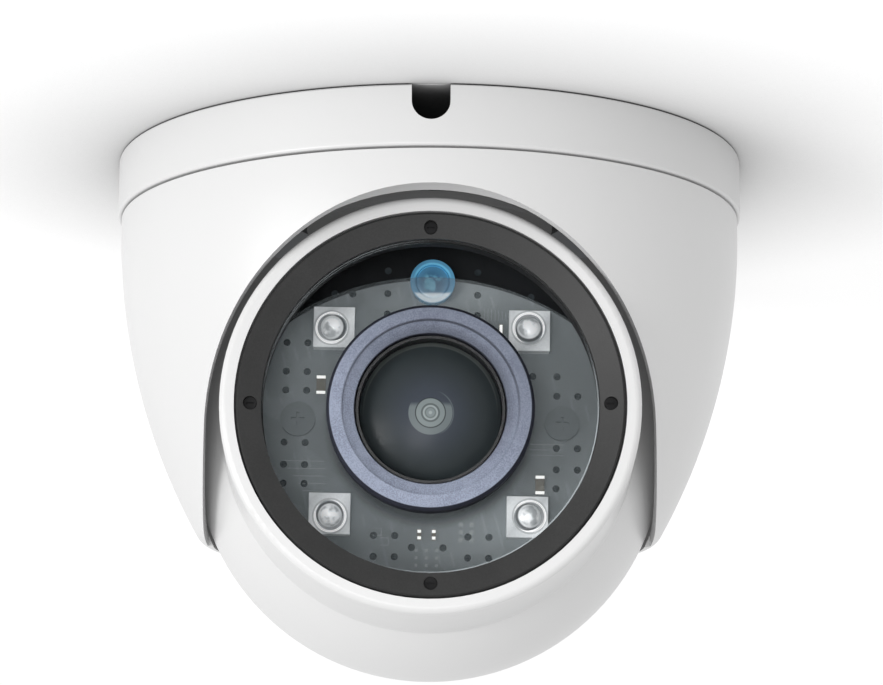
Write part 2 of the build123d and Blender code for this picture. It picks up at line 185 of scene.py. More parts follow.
class Shader:
    """A node material whose surface is one principled shader."""

    def __init__(self, name: str) -> None:
        """Starts an empty material.

        Args:
            name: The material's name.
        """
        self.material = bpy.data.materials.new(name)
        self.material.use_nodes = True
        self.tree = self.material.node_tree
        self.tree.nodes.clear()

    def add(
        self,
        kind: str,
        settings: dict[str, Any] | None = None,
        inputs: dict[int | str, Any] | None = None,
        output: int | str = 0,
    ) -> Wire:
        """Adds a node.

        Args:
            kind: The node's type.
            settings: Its properties, which are set before its sockets.
            inputs: Values or wires for its sockets, by index or name.
            output: The output that is wanted.

        Returns:
            The wanted output.
        """
        node = self.tree.nodes.new(kind)
        for key, value in (settings or {}).items():
            setattr(node, key, value)
        for key, value in (inputs or {}).items():
            if isinstance(value, Wire):
                self.tree.links.new(value.socket, node.inputs[key])
            else:
                node.inputs[key].default_value = value
        return Wire(self, node.outputs[output])

    def place(self) -> Wire:
        """Gives the point on the object, in metres in the camera's own frame."""
        return self.add("ShaderNodeTexCoord", output="Object")

    def axes(self) -> tuple[Wire, Wire, Wire]:
        """Gives the point's three coordinates."""
        spot = self.place()
        return tuple(self.add("ShaderNodeSeparateXYZ", inputs={0: spot}, output=i) for i in range(3))

    def noise(self, size: float, detail: float = 3.0, roughness: float = 0.5) -> Wire:
        """Gives cloudy noise.

        Args:
            size: Size of its features in millimetres.
            detail: Number of finer layers.
            roughness: Strength of the finer layers.

        Returns:
            The noise, from 0 to 1.
        """
        inputs = {"Vector": self.place(), "Scale": 1 / (size * MM)}
        return self.add("ShaderNodeTexNoise", inputs=inputs | {"Detail": detail, "Roughness": roughness})

    def cells(self, size: float) -> Wire:
        """Gives the distance to the middle of grains of a size in millimetres."""
        return self.add("ShaderNodeTexVoronoi", inputs={"Vector": self.place(), "Scale": 1 / (size * MM)})

    def blend(self, share: Any, first: Any, second: Any) -> Wire:
        """Mixes two colours.

        Args:
            share: How much of the second colour shows.
            first: A colour or wire.
            second: A colour or wire.

        Returns:
            The mixed colour.
        """
        inputs = {0: share, 6: _rgba(first), 7: _rgba(second)}
        return self.add("ShaderNodeMix", {"data_type": "RGBA"}, inputs, output=2)

    def relief(self, height: Wire, depth: float) -> Wire:
        """Turns a height into a normal.

        Args:
            height: The height, from 0 to 1.
            depth: What a height of 1 stands for, in millimetres.

        Returns:
            The normal.
        """
        return self.add("ShaderNodeBump", inputs={"Height": height, "Distance": depth * MM})

    def surface(self, **values: Any) -> bpy.types.Material:
        """Finishes the material.

        Args:
            values: Values or wires of the principled shader, with its socket names in lower case
                and underscores for spaces.

        Returns:
            The material.
        """
        inputs = {key.replace("_", " ").title().replace("Ior", "IOR"): v for key, v in values.items()}
        for key in ("Base Color", "Emission Color"):
            if key in inputs:
                inputs[key] = _rgba(inputs[key])
        return self.end(self.add("ShaderNodeBsdfPrincipled", inputs=inputs))

    def end(self, body: Wire) -> bpy.types.Material:
        """Sends a shader to the material's surface and gives the material."""
        end = self.tree.nodes.new("ShaderNodeOutputMaterial")
        self.tree.links.new(body.socket, end.inputs["Surface"])
        return self.material


def _rgba(colour: Any) -> Any:
    """Adds an alpha of 1 to a plain colour and leaves a wire as it is."""
    return colour if isinstance(colour, Wire) else (*colour, 1.0)


# ---- finishes ---------------------------------------------------------------------------


@dataclass(frozen=True)
class SatinPaint:
    """Smooth satin paint with a faint orange-peel surface and an optional painted glow."""

    name: str
    colour: Colour
    shift: float = 0.03
    roughness: float = 0.36
    peel: float = 1.1
    depth: float = 0.004
    painted_glow: float = 0.0

    def make(self) -> bpy.types.Material:
        """Builds the material."""
        shader = Shader(self.name)
        cloud = shader.noise(28, 4)
        dusty = tuple(channel * (1 - self.shift) for channel in self.colour)
        fine = shader.noise(self.peel, 2)
        speck = shader.noise(0.25, 2)
        return shader.surface(
            base_color=shader.blend(cloud, self.colour, dusty),
            roughness=self.roughness + 0.08 * (cloud - 0.5) + 0.05 * (speck - 0.5),
            specular_ior_level=0.45,
            coat_weight=0.12,
            coat_roughness=0.3,
            # Painted glow: the emission adds the paint's own colour, standing in for light that reaches its
            # shaded sides.
            emission_color=self.colour,
            emission_strength=self.painted_glow,
            normal=shader.relief(fine * 0.8 + speck * 0.2, self.depth),
        )


@dataclass(frozen=True)
class GrainedPlastic:
    """Matt moulded plastic or rubber with a fine spark-eroded grain."""

    name: str
    colour: Colour
    lighter: Colour
    grain: float = 0.35
    roughness: float = 0.55
    depth: float = 0.01
    specular: float = 0.4

    def make(self) -> bpy.types.Material:
        """Builds the material."""
        shader = Shader(self.name)
        grains = shader.cells(self.grain)
        cloud = shader.noise(6, 3)
        share = (cloud * 0.6 + grains * 0.5).step(0.2, 0.9)
        return shader.surface(
            base_color=shader.blend(share, self.colour, self.lighter),
            roughness=self.roughness + 0.12 * (grains - 0.4),
            specular_ior_level=self.specular,
            normal=shader.relief(grains, self.depth),
        )


@dataclass(frozen=True)
class BrushedMetal:
    """Plated, cast or turned metal with fine tool marks."""

    name: str
    colour: Colour
    darker: Colour
    roughness: float = 0.34
    mark: float = 0.2
    depth: float = 0.002

    def make(self) -> bpy.types.Material:
        """Builds the material."""
        shader = Shader(self.name)
        marks = shader.noise(self.mark, 4, 0.7)
        stains = shader.noise(3, 3)
        return shader.surface(
            base_color=shader.blend(stains.step(0.35, 0.75), self.colour, self.darker),
            metallic=1.0,
            roughness=self.roughness + 0.2 * (marks - 0.5),
            normal=shader.relief(marks, self.depth),
        )


@dataclass(frozen=True)
class ClearGlass:
    """Thin clear glass or a tinted filter, seen mostly through."""

    name: str
    colour: Colour
    cover: float = 0.05
    roughness: float = 0.02
    specular: float = 0.0

    def make(self) -> bpy.types.Material:
        """Builds the material."""
        shader = Shader(self.name)
        haze = shader.noise(9, 3)
        return shader.surface(
            base_color=shader.blend(haze, self.colour, tuple(c * 0.85 for c in self.colour)),
            roughness=self.roughness + 0.02 * haze,
            specular_ior_level=self.specular,
            alpha=self.cover + self.cover * 0.3 * (haze - 0.5),
        )


@dataclass(frozen=True)
class WindowGlass:
    """Clear polished window whose ground edge carries a painted highlight: a fine pale line, strongest at
    the lower right and fainter at the upper left.
    """

    centre: Point
    radius: float
    name: str = "window_clear"
    colour: Colour = paint(200, 208, 212)
    line_half: float = 0.05 * MM
    line_soft: float = 0.05 * MM
    edge_cover: float = 0.42

    def make(self) -> bpy.types.Material:
        """Builds the material."""
        shader = Shader(self.name)
        x, _, z = shader.axes()
        across, up = x - self.centre[0], z - self.centre[1]
        radius = (across * across + up * up) ** 0.5
        # Painted highlight: a fine pale line along the edge, shown at the lower right and, half as strong,
        # at the upper left.
        line = radius.band(self.radius, self.line_half, self.line_soft)
        highlight_lower_right = (across - up).step(0.35 * self.radius, 1.2 * self.radius)
        highlight_upper_left = (across - up).step(-0.9 * self.radius, -1.4 * self.radius)
        haze = shader.noise(4, 3)
        return shader.surface(
            base_color=shader.blend(haze, self.colour, tuple(c * 0.8 for c in self.colour)),
            roughness=0.3 + 0.1 * haze,
            specular_ior_level=0.0,
            alpha=line * (highlight_lower_right + highlight_upper_left * 0.5) * (haze * 0.6 + self.edge_cover - 0.3),
        )


@dataclass(frozen=True)
class SmokedCover:
    """Smoke-grey translucent plastic, a little cloudy, over the lamp board."""

    name: str = "smoke_cover"
    colour: Colour = paint(150, 158, 161)
    deep: Colour = paint(132, 140, 143)
    cover: float = 0.14

    def make(self) -> bpy.types.Material:
        """Builds the material."""
        shader = Shader(self.name)
        cloud = shader.noise(14, 3)
        frost = shader.noise(0.18, 2)
        return shader.surface(
            base_color=shader.blend(cloud, self.deep, self.colour),
            roughness=0.5 + 0.1 * (frost - 0.5),
            specular_ior_level=0.0,
            alpha=self.cover + 0.04 * (cloud - 0.5),
        )


@dataclass(frozen=True)
class SolderMask:
    """Slate solder mask over faint copper fields and tracks, darkened by painted shade above an arc and
    round the shield.
    """

    arc_centre: Point
    arc_radius: float
    axis_z: float
    name: str = "board_mask"
    painted_shade_colour: Colour = paint(24, 26, 28)
    colour: Colour = paint(150, 157, 160)
    copper: Colour = paint(170, 178, 181)
    spacing: float = 1.1 * MM
    edge_soft: float = 0.1 * MM
    shade_inner: float = 15.4 * MM
    shade_outer: float = 18.2 * MM

    def make(self) -> bpy.types.Material:
        """Builds the material."""
        shader = Shader(self.name)
        x, _, z = shader.axes()
        fields = shader.noise(7, 1).step(0.5, 0.56)
        lines = (x + z * 0.25).pingpong(self.spacing).step(0.75, 0.85) * shader.noise(5, 1).step(0.55, 0.6)
        share = fields * 0.35 + lines * 0.5
        weave = shader.noise(0.4, 2)
        across, up = x - self.arc_centre[0], z - self.arc_centre[1]
        reach = (across * across + up * up) ** 0.5
        # Painted shade: above the arc the board takes the dark shade colour.
        outside = reach.step(self.arc_radius - self.edge_soft, self.arc_radius + self.edge_soft)
        mask = shader.blend(share, self.colour, self.copper)
        rise = z - self.axis_z
        # Painted shade: the board darkens close round the lens shield.
        shade = ((across * across + rise * rise) ** 0.5).step(self.shade_outer, self.shade_inner)
        return shader.surface(
            base_color=shader.blend(shade * 0.85, shader.blend(outside, mask, self.painted_shade_colour), self.painted_shade_colour),
            roughness=0.5 + 0.1 * (weave - 0.5),
            specular_ior_level=0.08,
            normal=shader.relief(share * 0.8 + weave * 0.2, 0.02),
        )


@dataclass(frozen=True)
class FoamShield:
    """Purple-grey fine-grained foam of the light shield, with painted shade making it darker towards its
    upper right.

    Painted shade turns it dark navy down its side, in its bore and along the upper side of its step.
    """

    centre_z: float
    rim: float
    step: float
    bore: float
    name: str = "shield_foam"
    colour: Colour = paint(128, 135, 151)
    darker: Colour = paint(100, 106, 122)
    shade_navy: Colour = paint(28, 30, 40)
    corner: float = 0.12 * MM
    bore_corner: float = 0.2 * MM

    def make(self) -> bpy.types.Material:
        """Builds the material."""
        shader = Shader(self.name)
        x, _, z = shader.axes()
        grains = shader.cells(0.2)
        cloud = shader.noise(2.5, 3)
        top = shader.blend((grains * 0.7 + cloud * 0.5).step(0.25, 0.85), self.darker, self.colour)
        drop = z - self.centre_z
        radius = (x * x + drop * drop) ** 0.5
        # Painted shade: a dark line along the upper side of the step, and the upper right darker, most of
        # all on the conical band towards the bore.
        step_shade = radius.band(self.step, 0.08 * MM, 0.18 * MM) * drop.step(-0.8 * self.step, 0.6 * self.step)
        upper_right_shade = (x + drop * 1.3).step(-1.3 * self.step, 1.5 * self.step)
        slope_shade = radius.step(self.step, self.bore) * upper_right_shade
        shaded = shader.blend(step_shade * 0.4 + slope_shade * 0.3 + upper_right_shade * 0.4, top, self.shade_navy)
        # Painted shade: dark navy beyond the rim, down the side, and inside the bore.
        edge = radius.step(self.rim, self.rim + self.corner)
        bore_shade = radius.step(self.bore + self.bore_corner, self.bore)
        return shader.surface(
            base_color=shader.blend(edge + bore_shade, shaded, self.shade_navy),
            roughness=0.72 + 0.1 * (grains - 0.4),
            specular_ior_level=0.25,
            normal=shader.relief(grains * 0.6 + cloud * 0.4, 0.05),
        )


@dataclass(frozen=True)
class CoatedLens:
    """Dark coated lens glass, with the rims of the elements behind showing as faint rings, painted
    reflections near its top and a painted glint at its middle.
    """

    centre_z: float
    radius: float
    sunk: float = 0.5 * MM
    name: str = "lens_coating"
    dark: Colour = paint(38, 43, 45)
    glow: Colour = paint(50, 55, 64)
    ring: Colour = paint(108, 116, 116)
    rim_light: Colour = paint(86, 90, 88)
    glint: Colour = paint(168, 176, 176)
    blacking: Colour = paint(14, 15, 17)
    arc_inset: float = 0.75 * MM
    halo_radius: float = 3.0 * MM
    outer_ring: float = 3.72 * MM
    disc_radius: float = 2.45 * MM
    disc_line: float = 2.42 * MM
    middle_line: float = 1.4 * MM
    glint_radius: float = 1.1 * MM
    inner_line: float = 0.8 * MM

    def make(self) -> bpy.types.Material:
        """Builds the material."""
        shader = Shader(self.name)
        x, _, z = shader.axes()
        drop = z - self.centre_z
        radius = (x * x + drop * drop) ** 0.5
        sunk = drop + self.sunk
        inner = (x * x + sunk * sunk) ** 0.5
        glass = shader.blend(inner.step(9.5 * MM, 0.5 * MM), self.dark, self.glow)
        # Painted reflection: a thin pale arc and a crescent near the top of the glass.
        arc = radius.band(self.radius - self.arc_inset, 0.05 * MM, 0.12 * MM) * 0.35
        crescent = radius.step(self.radius - 0.8 * MM, self.radius - 0.6 * MM) * 0.4
        upper, top = drop.step(-2 * MM, 5 * MM), drop.step(2 * MM, 10 * MM)
        glass = shader.blend(arc * upper + crescent * top, glass, self.rim_light)
        # The faint rings of the elements behind are lightened only on their lower part and, for the outer
        # ring, on the right side, as painted reflection.
        halo = inner.band(self.halo_radius, 0.5 * MM, 0.12 * MM) * sunk.step(1.9 * MM, 0.9 * MM) * 0.55
        halo = halo + inner.band(self.outer_ring, 0.04 * MM, 0.1 * MM) * x.step(1.0 * MM, 3.0 * MM) * 0.3
        disc = inner.step(self.disc_radius, self.disc_radius - 0.15 * MM) * 0.85
        faces = shader.blend(disc, shader.blend(halo, glass, self.ring), self.ring)
        lines = inner.band(self.disc_line, 0.06 * MM, 0.08 * MM) * 0.8
        lines = lines + inner.band(self.middle_line, 0.1 * MM, 0.1 * MM) * 0.6
        lines = lines + inner.band(self.inner_line, 0.04 * MM, 0.08 * MM) * 0.4
        marks = shader.blend(lines, faces, self.dark)
        # Painted glint: a bright ring and spot at the middle of the glass.
        spark = inner.band(self.glint_radius, 0.08 * MM, 0.08 * MM) * 0.25
        spark = spark + inner.step(0.4 * MM, 0.15 * MM) * 0.3
        dust = shader.noise(1.5, 3)
        black = radius.step(self.radius - 0.25 * MM, self.radius - 0.1 * MM)
        lit = shader.blend(spark, marks, self.glint)
        return shader.surface(
            base_color=shader.blend(black, lit, self.blacking),
            roughness=0.3 + 0.05 * (dust - 0.5),
            specular_ior_level=0.12,
        )


@dataclass(frozen=True)
class BlueSensor:
    """Clear blue sensor cap, deep at the middle, with a painted reflection arc near its upper rim, a pale
    painted reflection along its lower edge and a faint painted glow.
    """

    centre: Point
    radius: float
    name: str = "blue_sensor"
    deep: Colour = paint(58, 98, 128)
    rim: Colour = paint(86, 148, 184)
    low_reflection: Colour = paint(240, 250, 255)
    arc: Colour = paint(110, 190, 226)
    die: Colour = paint(120, 190, 215)
    glow: float = 0.1

    def make(self) -> bpy.types.Material:
        """Builds the material."""
        shader = Shader(self.name)
        x, _, z = shader.axes()
        across, up = x - self.centre[0], z - self.centre[1]
        radius = (across * across + up * up) ** 0.5
        share = radius / self.radius
        cloud = shader.noise(1.4, 2)
        body = shader.blend(share.step(0.3, 0.95) * 0.8 + cloud * 0.2, self.deep, self.rim)
        # Painted reflection: a bright arc near the upper rim.
        arc = share.band(0.78, 0.05, 0.06) * up.step(0.0, 0.5 * self.radius)
        lit = shader.blend(arc * 0.9, body, self.arc)
        # Painted reflection: a pale band along the lower edge.
        low = up.step(-0.45 * self.radius, -0.6 * self.radius) * share.step(1.0, 0.92)
        middle = share.step(0.55, 0.3) * cloud.step(0.4, 0.6) * 0.6
        shown = shader.blend(low * 0.85, shader.blend(middle, lit, self.die), self.low_reflection)
        return shader.surface(
            base_color=shown,
            # Painted glow: the cap glows a little though it is no lamp.
            emission_color=shown,
            emission_strength=self.glow,
            roughness=0.16 + 0.06 * cloud,
            specular_ior_level=0.5,
            coat_weight=0.3,
            coat_roughness=0.05,
        )


@dataclass(frozen=True)
class LampPlaces:
    """Where the four lamps stand: mirrored across, in two rows."""

    across: float
    low_z: float
    high_z: float

    def radius(self, shader: Shader) -> Wire:
        """Gives the distance to the nearest lamp's middle, in metres."""
        x, _, z = shader.axes()
        side = abs(x) - self.across
        up = abs(z - (self.low_z + self.high_z) / 2) - (self.high_z - self.low_z) / 2
        return (side * side + up * up) ** 0.5


@dataclass(frozen=True)
class LampSilver:
    """Bright silvered lamp package with a painted diagonal sheen, a bright metal ring round the dome
    lightened to near white as a painted highlight, and a faint painted glow.
    """

    places: LampPlaces
    name: str = "lamp_silver"
    colour: Colour = paint(226, 230, 232)
    sheen: Colour = paint(168, 173, 176)
    ring_highlight: Colour = paint(252, 253, 254)
    line: Colour = paint(86, 91, 94)
    sheen_width: float = 4.8 * MM
    ring_radius: float = 2.52 * MM
    line_radius: float = 2.85 * MM
    dome_foot: float = 2.32 * MM
    glow: float = 0.16

    def make(self) -> bpy.types.Material:
        """Builds the material."""
        shader = Shader(self.name)
        x, _, z = shader.axes()
        grain = shader.noise(0.35, 3)
        # Painted sheen: diagonal bands of darker reflection repeat across the package.
        sheen = (x - z).pingpong(self.sheen_width)
        metal = shader.blend(grain * 0.4 + sheen * 0.7, self.colour, self.sheen)
        radius = self.places.radius(shader)
        outline = radius.band(self.line_radius, 0.06 * MM, 0.14 * MM) * 0.4
        outline = outline + radius.step(self.dome_foot, self.dome_foot - 0.1 * MM) * 0.7
        # The ring round the dome is lightened to near white as a painted highlight.
        metal_with_ring_highlight = shader.blend(radius.band(self.ring_radius, 0.12 * MM, 0.08 * MM), metal, self.ring_highlight)
        shown = shader.blend(outline, metal_with_ring_highlight, self.line)
        return shader.surface(
            base_color=shown,
            # Painted glow: the package glows a little.
            emission_color=shown,
            emission_strength=self.glow,
            roughness=0.32 + 0.1 * (grain - 0.5),
        )


@dataclass(frozen=True)
class LampDome:
    """Clear silicone dome over a lamp chip, with painted shade round its edge, painted highlight over most
    of it and a faint painted glow.
    """

    places: LampPlaces
    size: float
    name: str = "lamp_dome"
    shade: Colour = paint(70, 74, 76)
    middle: Colour = paint(170, 175, 178)
    bright: Colour = paint(244, 247, 249)
    glow: float = 0.18

    def make(self) -> bpy.types.Material:
        """Builds the material."""
        shader = Shader(self.name)
        share = self.places.radius(shader) / self.size
        cloud = shader.noise(1.6, 2)
        # Painted highlight: the dome is bright over most of it, brightest towards the middle.
        body = shader.blend(cloud.step(0.35, 0.6) * share.step(1.0, 0.5), self.middle, self.bright)
        # Painted shade darkens the dome round its edge, and a painted highlight ring lies inside it.
        rim = share.band(0.94, 0.04, 0.1)
        ring = share.band(0.78, 0.03, 0.07) * 0.5
        shown = shader.blend(rim * 0.85, shader.blend(ring, body, self.bright), self.shade)
        return shader.surface(
            base_color=shown,
            # Painted glow: the dome glows a little.
            emission_color=shown,
            emission_strength=self.glow,
            roughness=0.2 + 0.08 * cloud,
            coat_weight=0.3,
            coat_roughness=0.06,
        )


@dataclass(frozen=True)
class CeilingPaint:
    """White ceiling, shaded softly close to the camera, that shows only from below."""

    name: str = "ceiling_paint"
    colour: Colour = (0.96, 0.96, 0.96)
    shade: Colour = (0.03, 0.03, 0.03)
    reach: float = 60 * MM
    samples: int = 16

    def make(self) -> bpy.types.Material:
        """Builds the material."""
        shader = Shader(self.name)
        shelter = {"samples": self.samples, "only_local": False}
        open_share = shader.add("ShaderNodeAmbientOcclusion", shelter, {"Distance": self.reach}, output=1)
        body = shader.add(
            "ShaderNodeBsdfPrincipled",
            inputs={
                "Base Color": shader.blend(open_share, self.shade, self.colour),
                "Roughness": 0.9,
                "Specular IOR Level": 0.0,
            },
        )
        behind = shader.add("ShaderNodeNewGeometry", output="Backfacing")
        clear = shader.add("ShaderNodeBsdfTransparent")
        return shader.end(shader.add("ShaderNodeMixShader", inputs={0: behind, 1: body, 2: clear}))


# ---- mesh making ------------------------------------------------------------------------


class Bench:
    """Gathers small turned and flat shapes, set out about the optical axis, into one mesh piece."""

    def __init__(self, name: str, centre: Vector, turn: float = 0.0) -> None:
        """Starts a piece.

        Args:
            name: The piece's name.
            centre: The point that places are measured from, in metres.
            turn: How far the shapes are turned about the optical axis, in degrees.
        """
        self.name = name
        self.mesh = bmesh.new()
        self.place = Matrix.Translation(centre) @ Matrix.Rotation(math.radians(turn), 4, "Y")

    def _vert(self, x: float, y: float, z: float) -> bmesh.types.BMVert:
        """Adds a point given in millimetres."""
        return self.mesh.verts.new(self.place @ (Vector((x, y, z)) * MM))

    def turned(self, x: float, z: float, outline: Sequence[Point], steps: int = 32) -> None:
        """Turns an outline about an axis parallel to Y.

        Args:
            x: Where the axis stands, across.
            z: Where the axis stands, up.
            outline: Points of (radius, y), in millimetres.
            steps: Number of flats round the axis.
        """
        rows = []
        for radius, y in outline:
            if radius == 0:
                rows.append([self._vert(x, y, z)] * steps)
                continue
            angles = (math.tau * i / steps for i in range(steps))
            rows.append([self._vert(x + radius * math.cos(a), y, z + radius * math.sin(a)) for a in angles])
        for low, high in zip(rows, rows[1:]):
            for i in range(steps):
                corners = [low[i], low[(i + 1) % steps], high[(i + 1) % steps], high[i]]
                self.mesh.faces.new(list(dict.fromkeys(corners)))

    def bar(self, start: Point, end: Point, width: float, y: float, height: float) -> None:
        """Lays a flat bar with chamfered edges on a surface that faces -Y.

        Args:
            start: Middle of its first end, as (x, z).
            end: Middle of its second end, as (x, z).
            width: Its width.
            y: The surface it lies on.
            height: How far it stands proud.
        """
        run = Vector((end[0] - start[0], end[1] - start[1]))
        side = Vector((-run.y, run.x)).normalized() * width / 2
        edge = min(0.15 * width, 0.5 * height)
        inset = run.normalized() * edge
        rows = []
        for shrink, level in ((0.0, y), (0.0, y - height + edge), (1.0, y - height)):
            across = side * (1 - shrink * 2 * edge / width)
            first = Vector(start) + inset * shrink
            last = Vector(end) - inset * shrink
            spots = (first - across, last - across, last + across, first + across)
            rows.append([self._vert(spot.x, level, spot.y) for spot in spots])
        for low, high in zip(rows, rows[1:]):
            for i in range(4):
                self.mesh.faces.new([low[i], low[(i + 1) % 4], high[(i + 1) % 4], high[i]])
        self.mesh.faces.new(rows[-1])

    def piece(self, body: Body, finish: Any, slot: str) -> None:
        """Ends the piece and sets it riding.

        Args:
            body: The group that it moves with.
            finish: What its material is made from.
            slot: Not used.
        """
        bmesh.ops.recalc_face_normals(self.mesh, faces=self.mesh.faces)
        data = bpy.data.meshes.new(self.name)
        self.mesh.to_mesh(data)
        self.mesh.free()
        for face in data.polygons:
            face.use_smooth = True
        data.set_sharp_from_angle(angle=math.radians(35))
        data.materials.append(finish.make())
        made = bpy.data.objects.new(self.name, data)
        bpy.context.scene.collection.objects.link(made)
        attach(made, body.value)
        log.info("built %s on %s", self.name, body.value)


@dataclass
class Assembly:
    """A sub-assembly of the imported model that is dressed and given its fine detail."""

    nodes: dict[str, bpy.types.Object]
    body: Body

    def dress(self, finish: Any, *names: str) -> None:
        """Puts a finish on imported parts.

        Args:
            finish: What the material is made from.
            names: The parts' names.
        """
        material = finish.make()
        for name in names:
            part = self.nodes[name]
            for slot in part.material_slots:
                slot.material = material
            if not part.material_slots:
                part.data.materials.append(material)
            log.info("dressed %s on %s in %s", name, self.body.value, material.name)


WHITE = paint(181, 181, 181)
# Painted glow for the white and pale parts, standing in for light bounced into their shaded gaps.
GLOW = 0.06
INK = paint(22, 22, 23)
SOOT = paint(34, 34, 35)
STEEL = paint(188, 190, 192)
DULL_STEEL = paint(138, 140, 143)


@dataclass
class Base(Assembly):
    """The plate that is screwed to the ceiling, with what holds the shroud to it."""

    def dress_all(self) -> None:
        """Dresses every part of the base."""
        self.dress(SatinPaint("base_white", WHITE, painted_glow=GLOW), "base_plate")
        self.dress(GrainedPlastic("gasket_foam", INK, SOOT, grain=0.5, depth=0.04), "ceiling_gasket")
        self.dress(GrainedPlastic("grommet_rubber", INK, SOOT, roughness=0.62), "base_cable_grommet")
        # The washer's nylon glows faintly as painted light.
        self.dress(SatinPaint("nylon", paint(206, 203, 192), 0.08, 0.42, 0.6, 0.006, GLOW), "pan_washer")
        spring = BrushedMetal("spring_steel", paint(120, 122, 126), paint(88, 90, 94), roughness=0.28)
        self.dress(spring, "pan_retaining_clip")
        self.dress(BrushedMetal("plated_screw", STEEL, DULL_STEEL), "pan_lock_screw")


@dataclass
class Swivel(Assembly):
    """The shroud with the turntable and tilt brackets inside it."""

    def dress_all(self) -> None:
        """Dresses every part that turns with the shroud."""
        self.dress(SatinPaint("shroud_white", WHITE, painted_glow=GLOW), "shroud")
        # The turntable's paint glows faintly as painted light, lightening it where it lies in shade.
        cast = SatinPaint("cast_turntable", paint(150, 152, 155), 0.1, 0.5, 0.6, 0.02, 0.16)
        self.dress(cast, "turntable")
        pressed = BrushedMetal("pressed_steel", STEEL, DULL_STEEL, roughness=0.38)
        self.dress(pressed, "tilt_bracket_left", "tilt_bracket_right")
        plated = BrushedMetal("shroud_screw_steel", STEEL, DULL_STEEL)
        self.dress(plated, "shroud_screws", "tilt_bracket_screws")
        nylon = GrainedPlastic("bush_nylon", paint(214, 210, 198), paint(228, 225, 215), roughness=0.42)
        self.dress(nylon, "tilt_bushes")


@dataclass
class Eyeball(Assembly):
    """The tilting eyeball: its two shells, its window and the ring that holds it."""

    window_radius: float = 26.9 * MM

    def dress_all(self) -> None:
        """Dresses every part of the eyeball."""
        self.dress(SatinPaint("eyeball_white", WHITE, painted_glow=GLOW), "front_shell", "rear_shell")
        ring = GrainedPlastic("ring_black", paint(32, 32, 32), paint(40, 40, 40), 0.3, 0.5, 0.006, 0.28)
        self.dress(ring, "retaining_ring")
        seat = GrainedPlastic("seat_black", paint(16, 17, 18), paint(22, 23, 24), 0.3, 0.6, 0.01, 0.2)
        self.dress(seat, "window_seat")
        low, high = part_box("retaining_ring")
        middle = (low + high) / 2
        self.dress(WindowGlass((middle.x, middle.z), self.window_radius), "window_glass")
        rubber = GrainedPlastic("seal_rubber", INK, SOOT, 0.4, 0.6)
        self.dress(rubber, "window_gasket", "seat_seal", "shell_seal", "ball_cable_grommet")
        zinc = GrainedPlastic("black_zinc", paint(22, 22, 23), paint(12, 12, 13), 0.15, 0.5, 0.003, 0.12)
        self.dress(zinc, "retaining_screws")
        self.dress(BrushedMetal("shell_screw_steel", STEEL, DULL_STEEL), "shell_screws", "tilt_pins")
        spring = BrushedMetal("clip_steel", paint(120, 122, 126), paint(88, 90, 94), roughness=0.28)
        self.dress(spring, "module_clip")


